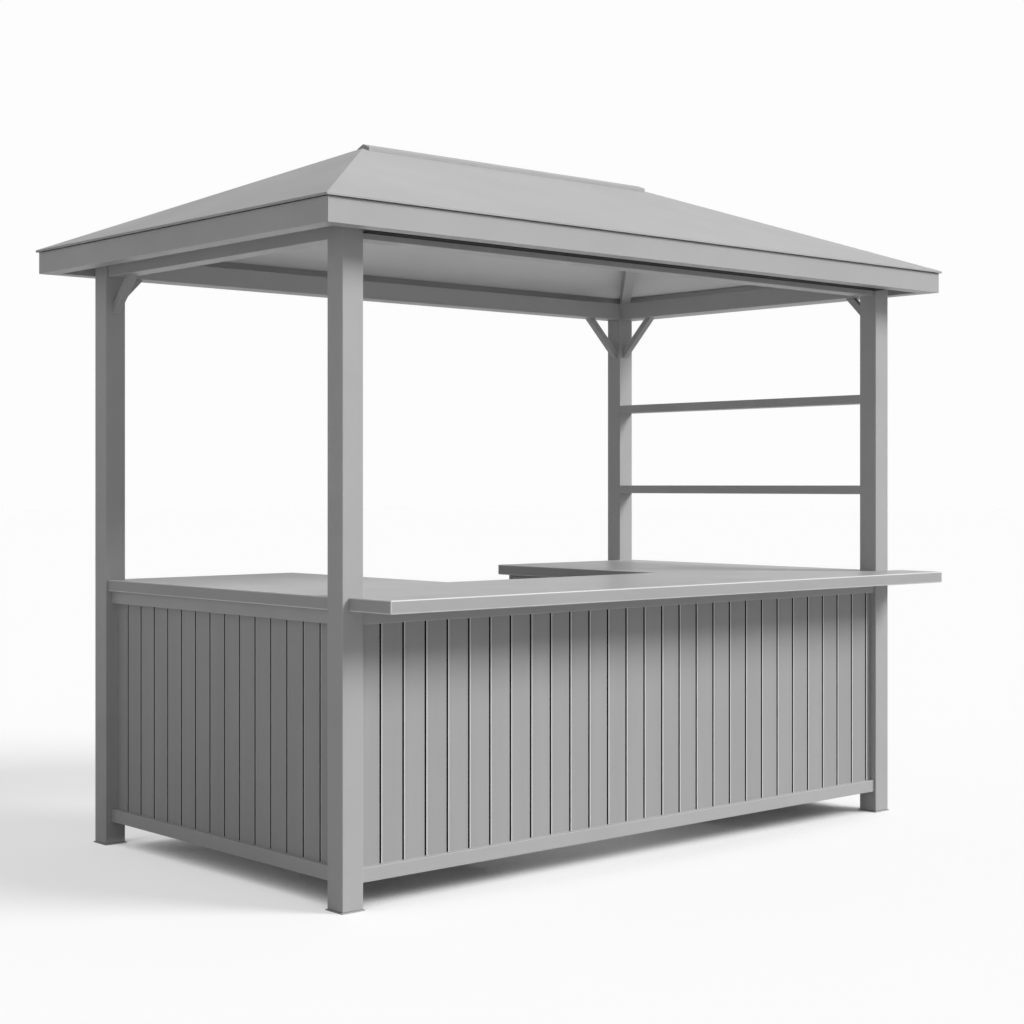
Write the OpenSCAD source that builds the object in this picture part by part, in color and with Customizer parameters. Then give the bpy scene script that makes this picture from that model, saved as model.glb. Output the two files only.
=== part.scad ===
// Garden bar pavilion: four posts, a hipped roof and a U-shaped bar counter.
// Millimetres. X runs along the long side, the customers stand at -Y and Z is up.
// The origin is on the floor, under the centre of the whole outline.

/* [Frame] */
// Side of the square posts
post_w = 90; // [60:1:140]
// Length over the posts, left to right
frame_l = 3080; // [2400:10:4200]
// Depth over the posts, front to rear
frame_d = 1730; // [1400:10:2600]
// Floor to the underside of the perimeter beams
beam_z = 2345; // [2050:5:2800]
// Height of the perimeter beams
beam_h = 80; // [50:1:130]
// Step from the posts' outer faces back to the beams' outer faces
beam_inset = 10; // [0:1:30]
// Thickness of the foot plates
foot_t = 4; // [2:1:12]
// Reach of a foot plate past its post
foot_lip = 5; // [1:1:20]

/* [Roof] */
// Fascia face out from the end posts, at the left and right
eave_side = 175; // [120:5:350]
// Fascia face out from the posts, at the front and rear
eave_front = 155; // [120:5:350]
// Step from the beams' underside up to the fascia's underside
fascia_lift = 18; // [0:1:45]
// Height of the fascia's face
fascia_h = 84; // [70:1:160]
// Width of the fascia box, seen from below
fascia_w = 70; // [30:1:90]
// Reach of the roof sheets past the fascia
drip = 10; // [2:1:30]
// Thickness of the roof sheets, measured upright
sheet_t = 14; // [6:1:30]
// Rise of the roof from its edge to its ridge
roof_rise = 398; // [250:5:700]
// Length of the ridge
ridge_l = 1600; // [900:10:2200]
// Width of the ridge cap
cap_w = 80; // [40:2:160]
// Height of the ridge cap's sides
cap_t = 16; // [4:1:40]
// Width of the hip rafters and the ridge beam
rafter_w = 45; // [30:1:70]
// Depth of the hip rafters and the ridge beam, measured upright
rafter_h = 110; // [80:1:160]

/* [Knee braces] */
// Leg of the braces on the rear posts, along post and beam
brace_leg = 200; // [120:5:400]
// Leg of the brace on the rear left post, along the left beam
left_leg = 150; // [100:5:400]
// Leg of the short braces
short_leg = 100; // [90:5:200]
// Side of the square brace bars
brace_w = 30; // [20:1:60]

/* [Counter] */
// Floor to the counter's top face
counter_z = 1095; // [850:5:1250]
// Thickness of the counter's slabs
counter_t = 48; // [25:1:80]
// Reach of the front slab past the posts, over the customers' side
counter_reach = 236; // [160:5:400]
// Left end of the front slab, in from the left post's outer face
counter_start = 28; // [0:1:60]
// Right end of the front slab, out from the right post's outer face
counter_end = 84; // [0:1:150]
// Side slabs' outer faces, in from the posts' outer faces
slab_inset = 10; // [0:1:18]
// Inner edge of the front slab, back from the posts' front faces
bar_d = 558; // [350:1:700]
// Depth of the side slabs, outer edge to inner edge
wing_d = 922; // [500:1:1000]

/* [Skirt] */
// Front rails' outer faces, in from the posts' front faces
front_inset = 10; // [0:1:30]
// Side rails' outer faces, in from the posts' outer faces, and the rear rails' in from the slabs' ends
side_inset = 26; // [10:1:40]
// Thickness of the rails
rail_t = 40; // [30:1:50]
// Height of the top rails, under the counter
top_rail_h = 50; // [30:1:100]
// Height of the bottom rails
bottom_rail_h = 52; // [30:1:100]
// Gap from the floor to the bottom rails
rail_gap = 94; // [40:1:200]
// Boarding's outer face, back from the rails' outer faces
board_step = 20; // [2:1:22]
// Thickness of the boarding
board_t = 18; // [8:1:18]

/* [Staff side] */
// Side of the square counter legs
leg_w = 50; // [30:1:80]
// Inner rails' faces, back from the slabs' inner edges
inner_inset = 49; // [10:1:100]
// Thickness of the inner rails
inner_rail_t = 30; // [15:1:50]

/* [Shelves] */
// Floor to the underside of the lower shelf
lower_shelf_z = 1443; // [1300:1:1600]
// Floor to the underside of the upper shelf
upper_shelf_z = 1858; // [1700:1:2000]
// Thickness of the shelves
shelf_t = 40; // [18:1:60]

/* [Hidden] */

// Outer faces of the posts
left_x = -frame_l / 2;
roof_reach = eave_front + drip;
front_y = (max(counter_reach, roof_reach) - roof_reach - frame_d) / 2;
rear_y = front_y + frame_d;
mid_y = front_y + frame_d / 2;
post_top = beam_z + beam_h;

// Roof planes, about the roof's own middle
roof_half_l = frame_l / 2 + eave_side + drip;
roof_half_d = frame_d / 2 + eave_front + drip;
fascia_z = beam_z + fascia_lift;
edge_z = fascia_z + fascia_h + sheet_t;
ridge_z = edge_z + roof_rise;
front_fall = roof_rise / roof_half_d;
hip_plan_x = roof_half_l - ridge_l / 2;
hip_run = norm([hip_plan_x, roof_half_d]);
hip_turn = atan2(roof_half_d, hip_plan_x);

// Counter and skirt
slab_z = counter_z - counter_t;
top_rail_z = slab_z - top_rail_h;
board_z = rail_gap + bottom_rail_h;
bar_y = front_y + bar_d;
wing_end_y = rear_y - post_w;
wing_x = left_x + slab_inset + wing_d;
inner_x = wing_x - inner_inset;
inner_y = bar_y - inner_inset;
return_y = wing_end_y - side_inset;

module block(low, high) {
  translate(low) cube(high - low);
}

module right() {
  mirror([1, 0, 0]) children();
}

module both_sides() {
  children();
  right() children();
}

// Turns a piece of the front into its twin at the rear
module rear() {
  translate([0, 2 * mid_y, 0]) mirror([0, 1, 0]) children();
}

// Outline drawn in Y and Z, run along X to both sides
module along_x(half) {
  rotate([90, 0, 90]) linear_extrude(2 * half, center = true) children();
}

// Outline drawn in X and Z, run along Y to both sides
module along_y(half) {
  rotate([90, 0, 0]) linear_extrude(2 * half, center = true) children();
}

// ---- Frame ----

module post() {
  color("#9a9a9a")
    block([left_x, front_y, foot_t], [left_x + post_w, front_y + post_w, post_top]);
}

module foot_plates() {
  color("#8c8c8c") both_sides() for (y = [front_y, wing_end_y])
    block([left_x - foot_lip, y - foot_lip, 0],
      [left_x + post_w + foot_lip, y + post_w + foot_lip, foot_t]);
}

module long_beam() {
  color("#8a8a8a")
    block([left_x + post_w, front_y + beam_inset, beam_z], [-left_x - post_w, front_y + post_w, post_top]);
}

module side_beam() {
  color("#8a8a8a")
    block([left_x + beam_inset, front_y + post_w, beam_z], [left_x + post_w, wing_end_y, post_top]);
}

// Bar in the corner between a post's face (x = 0) and a beam's underside (z = 0)
module brace(leg) {
  bevel = brace_w * sqrt(2);
  along_y(brace_w / 2) polygon([[0, -leg], [leg, 0], [leg - bevel, 0], [0, bevel - leg]]);
}

module knee_braces() {
  beam_mid = (beam_inset + post_w) / 2;
  color("#7a7a7a") {
    // On the side beams, running forward from the rear posts
    translate([left_x + beam_mid, wing_end_y, beam_z]) rotate(-90) brace(left_leg);
    right() translate([left_x + beam_mid, wing_end_y, beam_z]) rotate(-90) brace(brace_leg);
    // On the rear beam
    translate([left_x + post_w, rear_y - beam_mid, beam_z]) brace(short_leg);
    right() translate([left_x + post_w, rear_y - beam_mid, beam_z]) brace(brace_leg);
    // On the right beam, running back from the front post
    right() translate([left_x + beam_mid, front_y + post_w, beam_z]) rotate(90) brace(short_leg);
  }
}

module shelf(z) {
  color("#8a8a8a") right()
    block([left_x, front_y + post_w, z], [left_x + post_w, wing_end_y, z + shelf_t]);
}

// ---- Roof, about its own middle ----

// Everything under the undersides of the roof sheets
module under_roof() {
  low = edge_z - sheet_t;
  high = ridge_z - sheet_t;
  intersection() {
    along_x(roof_half_l)
      polygon([[-roof_half_d, 0], [roof_half_d, 0], [roof_half_d, low], [0, high], [-roof_half_d, low]]);
    along_y(roof_half_d)
      polygon([[-roof_half_l, 0], [roof_half_l, 0], [roof_half_l, low],
        [ridge_l / 2, high], [-ridge_l / 2, high], [-roof_half_l, low]]);
  }
}

// Outline of a sheet from its edge, half away from the middle, up to the ridge, top away from it
module sheet_outline(half, top) {
  polygon([[-half, edge_z - sheet_t], [-top, ridge_z - sheet_t], [-top, ridge_z], [-half, edge_z]]);
}

module long_slope() {
  color("#b4b4b4") translate([0, mid_y, 0]) intersection() {
    along_x(roof_half_l) sheet_outline(roof_half_d, 0);
    linear_extrude(ridge_z)
      polygon([[-roof_half_l, -roof_half_d], [roof_half_l, -roof_half_d], [ridge_l / 2, 0], [-ridge_l / 2, 0]]);
  }
}

module end_slope() {
  color("#a0a0a0") translate([0, mid_y, 0]) intersection() {
    along_y(roof_half_d) sheet_outline(roof_half_l, ridge_l / 2);
    linear_extrude(ridge_z)
      polygon([[-roof_half_l, -roof_half_d], [-ridge_l / 2, 0], [-roof_half_l, roof_half_d]]);
  }
}

module ridge_cap() {
  side = cap_w / 2;
  fall = side * front_fall;
  color("#b0b0b0") translate([0, mid_y, ridge_z]) along_x(ridge_l / 2)
    polygon([[-side, -fall], [0, 0], [side, -fall], [side, cap_t - fall], [0, cap_t], [-side, cap_t - fall]]);
}

module long_fascia() {
  half_l = roof_half_l - drip;
  face_y = -roof_half_d + drip;
  color("#acacac") translate([0, mid_y, 0]) intersection() {
    block([-half_l, face_y, fascia_z], [half_l, face_y + fascia_w, ridge_z]);
    under_roof();
  }
}

module end_fascia() {
  face_x = -roof_half_l + drip;
  half_d = roof_half_d - drip - fascia_w;
  color("#8c8c8c") translate([0, mid_y, 0]) intersection() {
    block([face_x, -half_d, fascia_z], [face_x + fascia_w, half_d, ridge_z]);
    under_roof();
  }
}

// The rafters reach past the ridge's ends, so that the hips meet them on both faces
module ridge_beam() {
  color("#808080") translate([0, mid_y, 0]) intersection() {
    block([-ridge_l / 2 - 2 * rafter_w, -rafter_w / 2, ridge_z - sheet_t - rafter_h],
      [ridge_l / 2 + 2 * rafter_w, rafter_w / 2, ridge_z]);
    under_roof();
  }
}

// From the fascia's inner corner, over the post's top, up to the ridge beam
module hip_rafter() {
  low = edge_z - sheet_t;
  inner = drip + fascia_w;
  translate([0, mid_y, 0]) intersection() {
    translate([-roof_half_l, -roof_half_d, 0]) rotate(hip_turn) along_y(rafter_w / 2)
      polygon([[0, low - rafter_h], [hip_run, low - rafter_h + roof_rise], [hip_run, ridge_z], [0, ridge_z]]);
    under_roof();
    block([inner - roof_half_l, inner - roof_half_d, post_top], [0, -rafter_w / 2, ridge_z]);
  }
}

module hip_rafters() {
  color("#8a8a8a") both_sides() {
    hip_rafter();
    rear() hip_rafter();
  }
}

// ---- Counter ----

// Runs in front of the posts, and fits round them behind
module counter_front() {
  side = -left_x - slab_inset;
  post_in = -left_x - post_w;
  front = front_y - counter_reach;
  back = front_y + post_w;
  color("#b4b4b4") translate([0, 0, slab_z]) linear_extrude(counter_t)
    polygon([[left_x + counter_start, front], [counter_end - left_x, front], [counter_end - left_x, front_y],
      [post_in, front_y], [post_in, back], [side, back], [side, bar_y],
      [-side, bar_y], [-side, back], [-post_in, back], [-post_in, front_y], [left_x + counter_start, front_y]]);
}

module wing() {
  color("#b4b4b4")
    block([left_x + slab_inset, bar_y, slab_z], [wing_x, wing_end_y, counter_z]);
}

// ---- Skirt: rails and boarding between two heights ----

module front_strip(inset, thick, low, high) {
  y = front_y + inset;
  block([left_x + post_w, y, low], [-left_x - post_w, y + thick, high]);
}

module side_strip(inset, thick, low, high) {
  x = left_x + inset;
  block([x, front_y + post_w, low], [x + thick, wing_end_y, high]);
}

// Closes a wing's rear end, from the side rail to the leg at its inner corner
module return_strip(step, thick, low, high) {
  y = return_y - step;
  block([left_x + side_inset + rail_t, y - thick, low], [inner_x - leg_w, y, high]);
}

module front_rail(low, high) {
  color("#9c9c9c") front_strip(front_inset, rail_t, low, high);
}

module side_rail(low, high) {
  color("#848484") side_strip(side_inset, rail_t, low, high);
}

module rear_rails(low, high) {
  color("#848484") both_sides() return_strip(0, rail_t, low, high);
}

module cladding_front() {
  color("#a4a4a4") front_strip(front_inset + board_step, board_t, board_z, top_rail_z);
}

module side_cladding() {
  color("#808080") side_strip(side_inset + board_step, board_t, board_z, top_rail_z);
}

module cladding_rear() {
  color("#808080") both_sides() return_strip(board_step, board_t, board_z, top_rail_z);
}

// ---- Staff side ----

module inner_rail_front() {
  color("#787878")
    block([inner_x, inner_y - inner_rail_t, top_rail_z], [-inner_x, inner_y, slab_z]);
}

module inner_side_rail() {
  color("#787878")
    block([inner_x - inner_rail_t, inner_y, top_rail_z], [inner_x, return_y - leg_w, slab_z]);
}

module counter_legs() {
  color("#787878") both_sides() for (y = [inner_y, return_y])
    block([inner_x - leg_w, y - leg_w, 0], [inner_x, y, slab_z]);
}

post();  // post_front_left
right() post();  // post_front_right
rear() post();  // post_rear_left
right() rear() post();  // post_rear_right
foot_plates();
long_beam();  // beam_front
rear() long_beam();  // beam_rear
side_beam();  // beam_left
right() side_beam();  // beam_right
knee_braces();
long_fascia();  // fascia_front
rear() long_fascia();  // fascia_rear
end_fascia();  // fascia_left
right() end_fascia();  // fascia_right
long_slope();  // roof_front
rear() long_slope();  // roof_rear
end_slope();  // roof_left
right() end_slope();  // roof_right
ridge_cap();
ridge_beam();
hip_rafters();
counter_front();
wing();  // counter_left
right() wing();  // counter_right
front_rail(top_rail_z, slab_z);  // top_rail_front
side_rail(top_rail_z, slab_z);  // top_rail_left
right() side_rail(top_rail_z, slab_z);  // top_rail_right
rear_rails(top_rail_z, slab_z);  // top_rails_rear
front_rail(rail_gap, board_z);  // bottom_rail_front
side_rail(rail_gap, board_z);  // bottom_rail_left
right() side_rail(rail_gap, board_z);  // bottom_rail_right
rear_rails(rail_gap, board_z);  // bottom_rails_rear
cladding_front();
side_cladding();  // cladding_left
right() side_cladding();  // cladding_right
cladding_rear();
inner_rail_front();
inner_side_rail();  // inner_rail_left
right() inner_side_rail();  // inner_rail_right
counter_legs();
shelf(lower_shelf_z);  // shelf_lower
shelf(upper_shelf_z);  // shelf_upper
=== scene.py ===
# Garden bar pavilion: the look of the coated steel frame, roof, counter and boarding.
import math

import bpy
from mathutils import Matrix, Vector


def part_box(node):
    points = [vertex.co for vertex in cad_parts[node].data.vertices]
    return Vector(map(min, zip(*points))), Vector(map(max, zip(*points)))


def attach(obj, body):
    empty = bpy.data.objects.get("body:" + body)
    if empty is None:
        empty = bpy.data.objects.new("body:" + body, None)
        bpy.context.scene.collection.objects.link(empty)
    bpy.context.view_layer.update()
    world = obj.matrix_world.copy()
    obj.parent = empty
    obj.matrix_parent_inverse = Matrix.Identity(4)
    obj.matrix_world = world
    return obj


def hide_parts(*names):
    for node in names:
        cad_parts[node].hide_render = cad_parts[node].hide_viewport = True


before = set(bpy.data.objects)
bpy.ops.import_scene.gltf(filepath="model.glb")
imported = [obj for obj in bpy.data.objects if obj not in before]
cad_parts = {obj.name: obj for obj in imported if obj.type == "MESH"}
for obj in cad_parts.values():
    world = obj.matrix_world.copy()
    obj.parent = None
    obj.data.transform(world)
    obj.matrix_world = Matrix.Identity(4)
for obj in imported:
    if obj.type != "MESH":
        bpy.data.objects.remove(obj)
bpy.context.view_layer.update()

MM = 0.001


# ---------------------------------------------------------------- view and light

def lay_camera():
    """A level camera at standing eye height, off the left front corner."""
    lens = bpy.data.cameras.new("eye")
    lens.sensor_width = 36
    lens.lens = 64.67
    lens.shift_y = -0.0265
    lens.clip_end = 200
    eye = bpy.data.objects.new("eye", lens)
    eye.location = (-5.3241, -5.9742, 1.4858)
    eye.rotation_euler = (math.radians(90), 0, math.radians(-41.60))
    bpy.context.scene.collection.objects.link(eye)
    bpy.context.scene.camera = eye


def lay_light(name, towards, strength, width):
    """One wide, soft lamp in the direction towards."""
    lamp = bpy.data.lights.new(name, "SUN")
    lamp.energy = strength
    lamp.angle = math.radians(width)
    holder = bpy.data.objects.new(name, lamp)
    holder.rotation_euler = Vector(towards).to_track_quat("Z", "Y").to_euler()
    bpy.context.scene.collection.objects.link(holder)


def lay_roof_fill(power, spread):
    """A soft lamp panel level with the beams' tops, facing the roof's underside as far as the fascia."""
    low_x, high_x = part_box("fascia_left")[1].x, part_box("fascia_right")[0].x
    low_y, high_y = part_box("fascia_front")[1].y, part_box("fascia_rear")[0].y
    lamp = bpy.data.lights.new("roof_fill", "AREA")
    lamp.shape = "RECTANGLE"
    lamp.size, lamp.size_y = high_x - low_x, high_y - low_y
    lamp.energy = power
    lamp.spread = math.radians(spread)
    holder = bpy.data.objects.new("roof_fill", lamp)
    holder.location = ((low_x + high_x) / 2, (low_y + high_y) / 2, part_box("beam_front")[1].z + MM)
    holder.rotation_euler = (math.pi, 0, 0)
    holder.visible_camera = holder.visible_glossy = False
    bpy.context.scene.collection.objects.link(holder)


# ---------------------------------------------------------------- finishes

def linear(code):
    """An sRGB hex colour as linear red, green, blue and a full alpha."""
    parts = [int(code[i:i + 2], 16) / 255 for i in (1, 3, 5)]
    return [p / 12.92 if p <= 0.04045 else ((p + 0.055) / 1.055) ** 2.4 for p in parts] + [1]


def add(tree, kind, settings, links=()):
    """Adds one node. Settings are its fields or its inputs, and links join inputs to outputs."""
    node = tree.nodes.new(kind)
    for key, value in settings.items():
        if isinstance(key, int) or key in node.inputs:
            node.inputs[key].default_value = value
        else:
            setattr(node, key, value)
    for key, source in dict(links).items():
        tree.links.new(source, node.inputs[key])
    return node


def bare_material(name):
    material = bpy.data.materials.new(name)
    material.use_nodes = True
    material.node_tree.nodes.clear()
    return material, material.node_tree


def coated(name, dark, light, rough, drift_mm, peel_mm, peel_depth_mm, stretch=(1, 1, 1), specular=0.25,
           highlight_mm=3, highlight_tone="#E2E2E2"):
    """Coated metal: a slow drift between two greys, an uneven gloss, and the peel of the sprayed coat.

    drift_mm and peel_mm are the sizes of a cloud of colour and of a bump of the coat. Edges get a painted
    highlight: they are painted paler over the given width in millimetres.
    """
    material, tree = bare_material(name)
    place = add(tree, "ShaderNodeTexCoord", {})
    along = add(tree, "ShaderNodeMapping", {"Scale": stretch}, {"Vector": place.outputs["Object"]})
    drift = add(tree, "ShaderNodeTexNoise", {"Scale": 1000 / drift_mm, "Detail": 4.0, "Roughness": 0.55},
                {"Vector": along.outputs["Vector"]})
    tone = add(tree, "ShaderNodeValToRGB", {}, {"Fac": drift.outputs["Fac"]})
    tone.color_ramp.elements[0].position, tone.color_ramp.elements[1].position = 0.3, 0.7
    tone.color_ramp.elements[0].color = linear(dark)
    tone.color_ramp.elements[1].color = linear(light)
    # Painted highlight: the colour turns paler towards the edge tone near each edge, where the bevelled
    # normal leaves the face's normal.
    rolled = add(tree, "ShaderNodeBevel", {"samples": 4, "Radius": highlight_mm * MM})
    flat = add(tree, "ShaderNodeNewGeometry", {})
    turn = add(tree, "ShaderNodeVectorMath", {"operation": "DOT_PRODUCT"},
               {0: rolled.outputs["Normal"], 1: flat.outputs["Normal"]})
    edge = add(tree, "ShaderNodeMapRange", {"From Min": 0.995, "From Max": 0.9, "To Min": 0.0, "To Max": 0.6},
               {"Value": turn.outputs["Value"]})
    edge_highlighted = add(tree, "ShaderNodeMix", {"data_type": "RGBA", 7: linear(highlight_tone)},
                 {0: edge.outputs["Result"], 6: tone.outputs["Color"]})
    gloss = add(tree, "ShaderNodeTexNoise", {"Scale": 2500 / drift_mm, "Detail": 3.0},
                {"Vector": along.outputs["Vector"]})
    shine = add(tree, "ShaderNodeMapRange",
              {"From Min": 0.3, "From Max": 0.7, "To Min": rough[0], "To Max": rough[1]},
              {"Value": gloss.outputs["Fac"]})
    peel = add(tree, "ShaderNodeTexNoise", {"Scale": 1000 / peel_mm, "Detail": 2.0},
               {"Vector": along.outputs["Vector"]})
    bump = add(tree, "ShaderNodeBump", {"Strength": 0.5, "Distance": peel_depth_mm * MM},
               {"Height": peel.outputs["Fac"]})
    surface = add(tree, "ShaderNodeBsdfPrincipled",
                  {"IOR": 1.5, "Specular IOR Level": specular},
                  {"Base Color": edge_highlighted.outputs[2], "Roughness": shine.outputs["Result"],
                   "Normal": bump.outputs["Normal"]})
    add(tree, "ShaderNodeOutputMaterial", {}, {"Surface": surface.outputs["BSDF"]})
    return material


# Powder-coated steel box section, sprayed and baked: an even satin grey with a fine peel.
# The real peel of these coats is 1 to 2 mm across. It is drawn 4 to 9 mm across so that it shows.
powder_coated_steel = coated("powder_coated_steel", "#AEAEAE", "#B4B4B4", (0.42, 0.5), 400, 6, 0.05)

# Coated folded sheet steel: flatter and a little duller than the frame, with long soft waves.
coated_roof_sheet = coated("coated_roof_sheet", "#AFAFAF", "#B5B5B5", (0.5, 0.6), 700, 9, 0.05,
                           specular=0.12)

# Painted light: the sheet's underside has a paler coat than its top, which brightens the inside of the roof.
underside_painted_light = coated("underside_painted_light", "#D6D6D6", "#DCDCDC", (0.55, 0.65), 700, 9, 0.05,
                           specular=0.12)

# Satin lacquered steel worktop: the smoothest coat, wiped and worn to a low shine.
lacquered_worktop = coated("lacquered_worktop", "#ADADAD", "#B1B1B1", (0.36, 0.42), 500, 7, 0.008,
                           specular=0.1, highlight_mm=4)

# Painted highlight: its rounded edges are painted paler, and show as a thin light line.
worktop_edge_highlight = coated("worktop_edge_highlight", "#DEDEDE", "#E6E6E6", (0.3, 0.36), 500, 7, 0.008)

# Powder-coated extruded boards: faint draw lines run up each board, 2 mm apart,
# and are drawn 5 mm apart so that they show.
coated_boards = coated("coated_boards", "#A2A2A2", "#A9A9A9", (0.44, 0.54), 120, 5, 0.05,
                       stretch=(1, 1, 0.06))

# Painted highlight: the shallow fall along a board's edge is painted pale, so that it shows as a light line.
board_edge_highlight = coated("board_edge_highlight", "#E4E4E4", "#EEEEEE", (0.4, 0.5), 120, 5, 0.05)

# Painted shade: a matt black laid in each seam of the boarding and along the eaves, where there is shade; the
# darkest finish here.
painted_shade_black = coated("painted_shade_black", "#1C1C1C", "#242424", (0.7, 0.8), 40, 4, 0.1,
                           highlight_tone="#2C2C2C")

# Galvanised and painted foot plate: duller, with small scuffs from the ground.
painted_foot_plate = coated("painted_foot_plate", "#9C9C9C", "#AAAAAA", (0.5, 0.65), 30, 4, 0.08)


# ---------------------------------------------------------------- making pieces

def round_edges(piece, width_mm, segments=3):
    """Welds the piece's corners and rounds its real edges, as a folded or rolled edge is."""
    weld = piece.modifiers.new("weld", "WELD")
    weld.merge_threshold = 0.05 * MM
    round_over = piece.modifiers.new("round_over", "BEVEL")
    round_over.width = width_mm * MM
    round_over.segments = segments
    round_over.limit_method = "ANGLE"
    round_over.angle_limit = math.radians(25)
    round_over.miter_outer = "MITER_ARC"
    even = piece.modifiers.new("even_light", "WEIGHTED_NORMAL")
    even.weight = 60
    return round_over


def make_piece(name, corners, faces, material, stands_for, others=()):
    """A new piece from its corners in metres, finished and joined to the frame.

    others pairs each further material with the numbers of the faces that have it.
    """
    mesh = bpy.data.meshes.new(name)
    mesh.from_pydata([tuple(c) for c in corners], [], faces)
    mesh.update()
    mesh.materials.append(material)
    for place, (other, numbers) in enumerate(others, 1):
        mesh.materials.append(other)
        for number in numbers:
            mesh.polygons[number].material_index = place
    piece = bpy.data.objects.new(name, mesh)
    bpy.context.scene.collection.objects.link(piece)
    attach(piece, "root")
    if stands_for:
        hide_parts(*stands_for)
    return piece


def prism(outline, low, high):
    """Corners and faces of an outline in X and Y, counter-clockwise, raised from low to high."""
    count = len(outline)
    corners = [(x, y, z) for z in (low, high) for x, y in outline]
    faces = [list(range(count))[::-1], list(range(count, 2 * count))]
    faces += [[i, (i + 1) % count, count + (i + 1) % count, count + i] for i in range(count)]
    return corners, faces


# ---------------------------------------------------------------- counter

def make_counter():
    """The slabs are one U-shaped top, cut round the front posts."""
    front_low, front_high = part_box("counter_front")
    left_low, left_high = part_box("counter_left")
    right_low, right_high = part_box("counter_right")
    post_low, post_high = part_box("post_front_left")
    strip = [v.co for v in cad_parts["counter_front"].data.vertices]
    start = min(v.x for v in strip if v.y < front_low.y + MM)
    front, face, back = front_low.y, post_low.y, post_high.y
    inner, end = left_low.y, left_high.y
    outline = [
        (start, front), (front_high.x, front), (front_high.x, face), (-post_high.x, face),
        (-post_high.x, back), (right_high.x, back), (right_high.x, end), (right_low.x, end),
        (right_low.x, inner), (left_high.x, inner), (left_high.x, end), (left_low.x, end),
        (left_low.x, back), (post_high.x, back), (post_high.x, face), (start, face)]
    corners, faces = prism(outline, front_low.z, front_high.z)
    top = make_piece("counter_top", corners, faces, lacquered_worktop,
                     ["counter_front", "counter_left", "counter_right"])
    # The rounded edges get the pale edge finish, a painted highlight.
    top.data.materials.append(worktop_edge_highlight)
    round_edges(top, 4).material = 1


# ---------------------------------------------------------------- boarding

BOARD_COVER = 102.5 * MM    # from one seam to the next
SEAM = 8.5 * MM             # open width of a seam
SEAM_DEPTH = 5 * MM
ARRIS = 1.6 * MM            # chamfer along each board's groove edge
# The bead also has a pale finish, a painted highlight.
BEAD = 3.6 * MM             # shallow fall along its other edge, which catches the light
BEAD_FALL = 1.0 * MM        # how far that edge falls
LAST_BOARD = 8 * MM         # a remainder narrower than this joins the board before it


def board_outline(start, end, thick, first, last):
    """A board seen from its end: its length along the wall, and its depth from the back.

    Each point names the side that starts there: "seam", "bead", or "" for the plain board.
    """
    floor = thick - SEAM_DEPTH
    outline = [(start, 0, ""), (end, 0, "")]
    stop = end if last else end - SEAM
    if not last:
        outline += [(end, floor, "seam"), (stop, floor, "seam")]
    outline += [(stop, thick - ARRIS, ""), (stop - ARRIS, thick, ""), (start + BEAD, thick, "bead")]
    if first:
        return outline + [(start, thick - BEAD_FALL, "")]
    return outline + [(start, thick - BEAD_FALL, "seam"), (start, floor, "")]


def board_run(low, high, along, outward, full_from_high, even):
    """Corners and faces of the boards that fill a box, with their faces towards outward."""
    length = high[along] - low[along]
    across = 1 - along
    thick = high[across] - low[across]
    if even:
        cover = length / round(length / BOARD_COVER)
    else:
        cover = BOARD_COVER
    cuts = [0.0]
    while length - cuts[-1] > cover + LAST_BOARD:
        cuts.append(cuts[-1] + cover)
    cuts.append(length)
    corners, faces, sides = [], [], {"seam": [], "bead": []}
    for number, (start, end) in enumerate(zip(cuts, cuts[1:])):
        outline, marks = [], []
        for run, deep, mark in board_outline(start, end, thick, number == 0, number == len(cuts) - 2):
            place = [0.0, 0.0]
            place[along] = high[along] - run if full_from_high else low[along] + run
            place[across] = low[across] + deep if outward > 0 else high[across] - deep
            outline.append(tuple(place))
            marks.append(mark)
        area = sum(a[0] * b[1] - b[0] * a[1] for a, b in zip(outline, outline[1:] + outline[:1]))
        if area < 0:
            outline.reverse()
            marks = marks[-2::-1] + marks[-1:]
        board_corners, board_faces = prism(outline, low.z, high.z)
        for side, mark in enumerate(marks):
            if mark:
                sides[mark].append(len(faces) + 2 + side)
        faces += [[len(corners) + i for i in face] for face in board_faces]
        corners += board_corners
    return corners, faces, sides


def board_wall(side, corners, faces, sides):
    """One wall of boards, with painted shade in its seams and a painted highlight along its edges."""
    name = "cladding_" + side
    make_piece("boards_" + side, corners, faces, coated_boards, [name],
               [(painted_shade_black, sides["seam"]), (board_edge_highlight, sides["bead"])])


def make_boarding():
    """Tongue-and-groove boards stand upright between the top and the bottom rails."""
    low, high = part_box("cladding_front")
    board_wall("front", *board_run(low, high, 0, -1, False, False))
    for side, outward in (("left", -1), ("right", 1)):
        low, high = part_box("cladding_" + side)
        board_wall(side, *board_run(low, high, 1, outward, True, True))
    # The rear node holds two walls, one at the end of each side counter
    low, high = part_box("cladding_rear")
    wall = [v.co.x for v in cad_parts["cladding_rear"].data.vertices]
    inner = max(x for x in wall if x < 0)
    corners, faces, sides = board_run(low, Vector((inner, high.y, high.z)), 0, 1, False, False)
    second_low = Vector((-inner, low.y, low.z))
    more_corners, more_faces, more_sides = board_run(second_low, high, 0, 1, True, False)
    for mark, numbers in more_sides.items():
        sides[mark] += [len(faces) + number for number in numbers]
    faces += [[len(corners) + i for i in face] for face in more_faces]
    board_wall("rear", corners + more_corners, faces, sides)


# ---------------------------------------------------------------- roof

LIP = 9 * MM            # height of the sheet's folded edge
LIP_RETURN = 22 * MM    # how far the fold runs back under the sheet


def ring(half_x, half_y, middle_y, z):
    """Four corners of a level rectangle, from its front left corner round."""
    return [(-half_x, middle_y - half_y, z), (half_x, middle_y - half_y, z),
            (half_x, middle_y + half_y, z), (-half_x, middle_y + half_y, z)]


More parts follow.
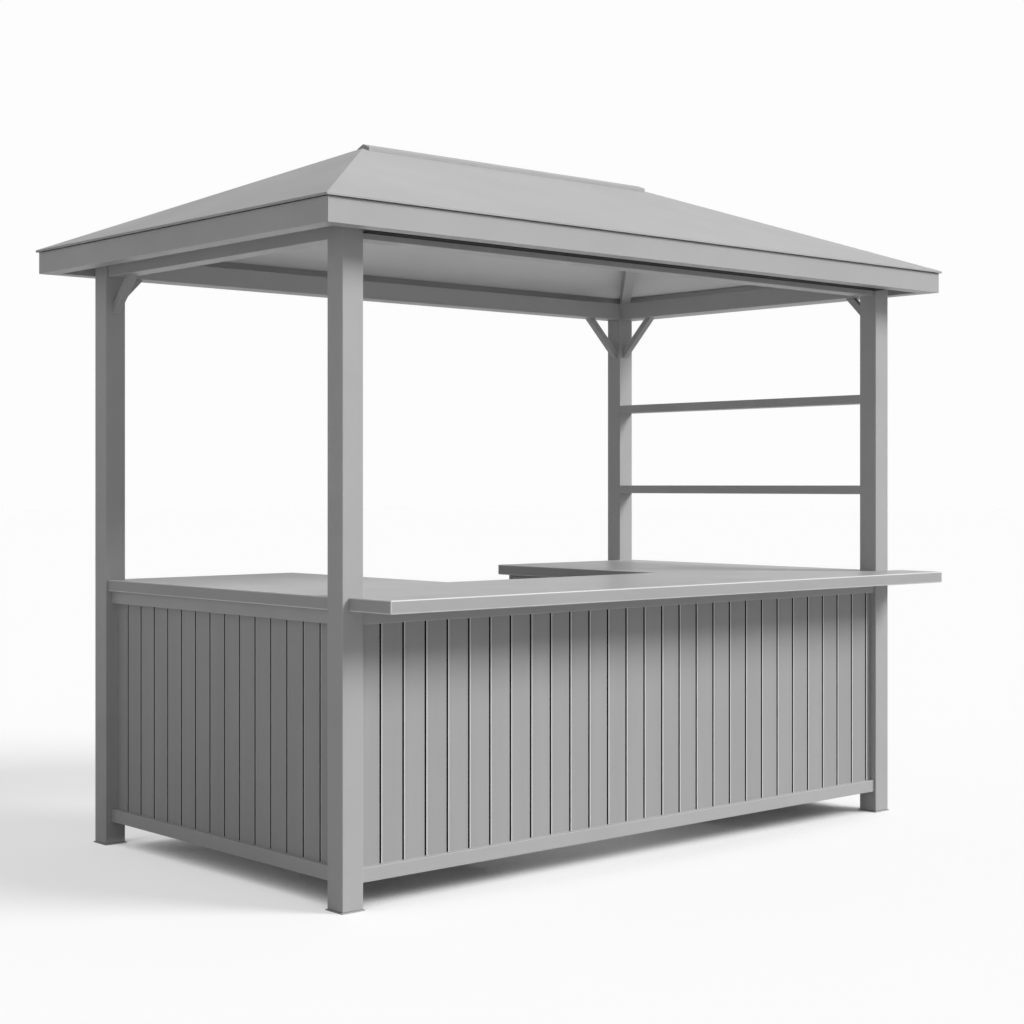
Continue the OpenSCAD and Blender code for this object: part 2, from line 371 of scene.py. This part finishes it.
def make_roof():
    """The four slopes meet at crisp hips, and end in a thin lip that stands clear of the fascia."""
    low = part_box("roof_front")[0]
    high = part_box("roof_rear")[1]
    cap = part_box("ridge_cap")
    half_x, half_y = high.x, (high.y - low.y) / 2
    middle = (high.y + low.y) / 2
    ridge = cap[1].x
    edge_nodes = [v.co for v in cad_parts["roof_front"].data.vertices if v.co.y < low.y + MM]
    edge, under = max(v.z for v in edge_nodes), low.z
    top = high.z
    thick = edge - under
    fall_y = (top - edge) / half_y
    fall_x = (top - edge) / (half_x - ridge)

    def slope_ring(inset, drop):
        """A ring under the slopes, inset in plan from the edge and drop below their top faces."""
        rise = inset * fall_y
        return ring(half_x - rise / fall_x, half_y - inset, middle, edge + rise - drop)

    corners = slope_ring(0, 0) + slope_ring(0, LIP)
    corners += slope_ring(LIP_RETURN, LIP) + slope_ring(LIP_RETURN, thick)
    upper_ridge, lower_ridge = len(corners), len(corners) + 2
    corners += [(x, middle, top) for x in (-ridge, ridge)]
    corners += [(x, middle, top - thick) for x in (-ridge, ridge)]
    faces = []
    for i in range(4):
        j = (i + 1) % 4
        for level in (0, 4, 8):
            faces.append([level + j, level + i, level + 4 + i, level + 4 + j])
    faces += [[0, 1, upper_ridge + 1, upper_ridge], [2, 3, upper_ridge, upper_ridge + 1],
              [3, 0, upper_ridge], [1, 2, upper_ridge + 1]]
    faces += [[13, 12, lower_ridge, lower_ridge + 1], [15, 14, lower_ridge + 1, lower_ridge],
              [12, 15, lower_ridge], [14, 13, lower_ridge + 1]]
    underside = range(len(faces) - 4, len(faces))
    # The underside gets the paler coat, painted light under the roof.
    sheet = make_piece("roof_sheet", corners, faces, coated_roof_sheet,
                       ["roof_front", "roof_rear", "roof_left", "roof_right"],
                       [(underside_painted_light, underside)])
    round_edges(sheet, 1.5, 2)


def make_fascia():
    """A box frame, mitred at its corners, under the edge of the sheet."""
    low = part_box("fascia_front")[0]
    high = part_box("fascia_rear")[1]
    inner = max(v.co.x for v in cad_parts["fascia_left"].data.vertices)
    width = inner - low.x
    half_x, half_y = high.x, (high.y - low.y) / 2
    middle = (high.y + low.y) / 2
    front = [v.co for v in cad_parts["fascia_front"].data.vertices]
    outer_top = max(v.z for v in front if v.y < low.y + MM)
    inner_top = max(v.z for v in front if v.y > low.y + MM)
    joint = 0.6 * MM    # open hairline at each mitre
    corners, faces = [], []
    outer = ring(half_x, half_y, middle, low.z)
    inside = ring(half_x - width, half_y - width, middle, low.z)
    for i in range(4):
        j = (i + 1) % 4
        run = (Vector(outer[j]) - Vector(outer[i])).normalized() * joint
        section = [Vector(outer[i]) + run, Vector(outer[j]) - run,
                   Vector(inside[j]) - run, Vector(inside[i]) + run]
        tops = [outer_top, outer_top, inner_top, inner_top]
        base = len(corners)
        corners += [tuple(c) for c in section] + [(c.x, c.y, z) for c, z in zip(section, tops)]
        faces += [[base + n for n in face] for face in
                  ([3, 2, 1, 0], [4, 5, 6, 7], [0, 1, 5, 4], [1, 2, 6, 5], [2, 3, 7, 6], [3, 0, 4, 7])]
    fascia = make_piece("fascia_frame", corners, faces, powder_coated_steel,
                        ["fascia_front", "fascia_rear", "fascia_left", "fascia_right"])
    round_edges(fascia, 1.5, 2)


def make_eave_shade_strips():
    """A black strip along each long beam's outer face, painted shade in the gap behind the fascia."""
    thick, wide = 3 * MM, 60 * MM
    for side, outside, outward in (("front", 0, -1), ("rear", 1, 1)):
        beam_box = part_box("beam_" + side)
        face = beam_box[outside].y
        low, high = sorted((face, face + outward * wide))
        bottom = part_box("fascia_" + side)[0].z + thick
        start, end = beam_box[0].x, beam_box[1].x
        outline = [(start, low), (end, low), (end, high), (start, high)]
        corners, faces = prism(outline, bottom, bottom + thick)
        make_piece("eave_shade_strip_" + side, corners, faces, painted_shade_black, [])


# ---------------------------------------------------------------- the rest of the frame

FRAME_STEEL = [
    "post_front_left", "post_front_right", "post_rear_left", "post_rear_right",
    "beam_front", "beam_rear", "beam_left", "beam_right", "knee_braces", "hip_rafters", "ridge_beam",
    "top_rail_front", "top_rail_left", "top_rail_right", "top_rails_rear",
    "bottom_rail_front", "bottom_rail_left", "bottom_rail_right", "bottom_rails_rear",
    "inner_rail_front", "inner_rail_left", "inner_rail_right", "counter_legs",
    "shelf_lower", "shelf_upper"]


def finish_node(name, material, width_mm):
    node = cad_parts[name]
    node.data.materials.clear()
    node.data.materials.append(material)
    round_edges(node, width_mm)


def finish_frame():
    """Box sections keep the frame's own shapes, with rolled edges."""
    for name in FRAME_STEEL:
        finish_node(name, powder_coated_steel, 3 if name.startswith("post") else 2)
    finish_node("ridge_cap", coated_roof_sheet, 1.5)
    finish_node("foot_plates", painted_foot_plate, 0.8)


# ---------------------------------------------------------------- floor and surroundings

FLOOR_REACH = 90        # metres from the middle to each edge, past any view's horizon
# Ambient occlusion over this reach paints the object's contact shadow onto the floor.
PAINTED_SHADOW_REACH = 2.5     # metres over which the object shuts the floor off from the lift


def eye_or_gloss(tree):
    """The light path, and a value of 1 for what the eye and gloss see."""
    seen = add(tree, "ShaderNodeLightPath", {})
    eye = add(tree, "ShaderNodeMath", {"operation": "ADD", "use_clamp": True},
              {0: seen.outputs["Is Camera Ray"], 1: seen.outputs["Is Glossy Ray"]})
    return seen, eye


def lay_floor(colour, glow):
    """A matt pale floor, lifted to the surroundings' white for the eye and for gloss.

    Close to the object the lift is cut back by ambient occlusion, which paints a contact shadow onto the
    floor.
    """
    mesh = bpy.data.meshes.new("floor")
    mesh.from_pydata(ring(FLOOR_REACH, FLOOR_REACH, 0, 0), [], [[0, 1, 2, 3]])
    material, tree = bare_material("matt_studio_floor")
    eye = eye_or_gloss(tree)[1]
    # Painted shadow: ambient occlusion dims the floor's lift near the object.
    contact_occlusion = add(tree, "ShaderNodeAmbientOcclusion", {"samples": 8, "Distance": PAINTED_SHADOW_REACH})
    painted_contact_shade = add(tree, "ShaderNodeMapRange", {"From Min": 0.15, "From Max": 0.5},
                  {"Value": contact_occlusion.outputs["AO"]})
    lift = add(tree, "ShaderNodeMath", {"operation": "MULTIPLY", 1: glow}, {0: eye.outputs[0]})
    shaded_lift = add(tree, "ShaderNodeMath", {"operation": "MULTIPLY"}, {0: lift.outputs[0], 1: painted_contact_shade.outputs[0]})
    paper = add(tree, "ShaderNodeBsdfDiffuse", {"Color": linear(colour)})
    lifted = add(tree, "ShaderNodeEmission", {"Color": (1, 1, 1, 1)}, {"Strength": shaded_lift.outputs[0]})
    both = add(tree, "ShaderNodeAddShader", {}, {0: paper.outputs[0], 1: lifted.outputs[0]})
    add(tree, "ShaderNodeOutputMaterial", {}, {"Surface": both.outputs[0]})
    mesh.materials.append(material)
    floor = bpy.data.objects.new("floor", mesh)
    bpy.context.scene.collection.objects.link(floor)


def lay_surroundings(soft_level, white):
    """Soft even light from above the horizon, which the eye and gloss see as white."""
    world = bpy.data.worlds.new("studio")
    world.use_nodes = True
    bpy.context.scene.world = world
    tree = world.node_tree
    tree.nodes.clear()
    seen, eye = eye_or_gloss(tree)
    any_eye = add(tree, "ShaderNodeMath", {"operation": "ADD", "use_clamp": True},
                  {0: eye.outputs[0], 1: seen.outputs["Is Transmission Ray"]})
    way = add(tree, "ShaderNodeTexCoord", {})
    height = add(tree, "ShaderNodeSeparateXYZ", {}, {"Vector": way.outputs["Generated"]})
    above = add(tree, "ShaderNodeMath", {"operation": "GREATER_THAN", 1: 0.0}, {0: height.outputs["Z"]})
    level = add(tree, "ShaderNodeMath", {"operation": "MULTIPLY", 1: soft_level}, {0: above.outputs[0]})
    soft = add(tree, "ShaderNodeBackground", {"Color": (1, 1, 1, 1)}, {"Strength": level.outputs[0]})
    backdrop = add(tree, "ShaderNodeBackground", {"Color": (1, 1, 1, 1), "Strength": white})
    mix = add(tree, "ShaderNodeMixShader", {},
              {0: any_eye.outputs[0], 1: soft.outputs[0], 2: backdrop.outputs[0]})
    add(tree, "ShaderNodeOutputWorld", {}, {"Surface": mix.outputs[0]})


lay_camera()
lay_light("key_lamp", (0.52, -0.64, 0.58), 2.85, 24)
lay_roof_fill(3.3, 60)
lay_surroundings(0.36, 0.98)
lay_floor("#BCBCBC", 0.53)
make_counter()
make_boarding()
make_roof()
make_fascia()
make_eave_shade_strips()
finish_frame()

bpy.context.scene.view_settings.view_transform = "Standard"
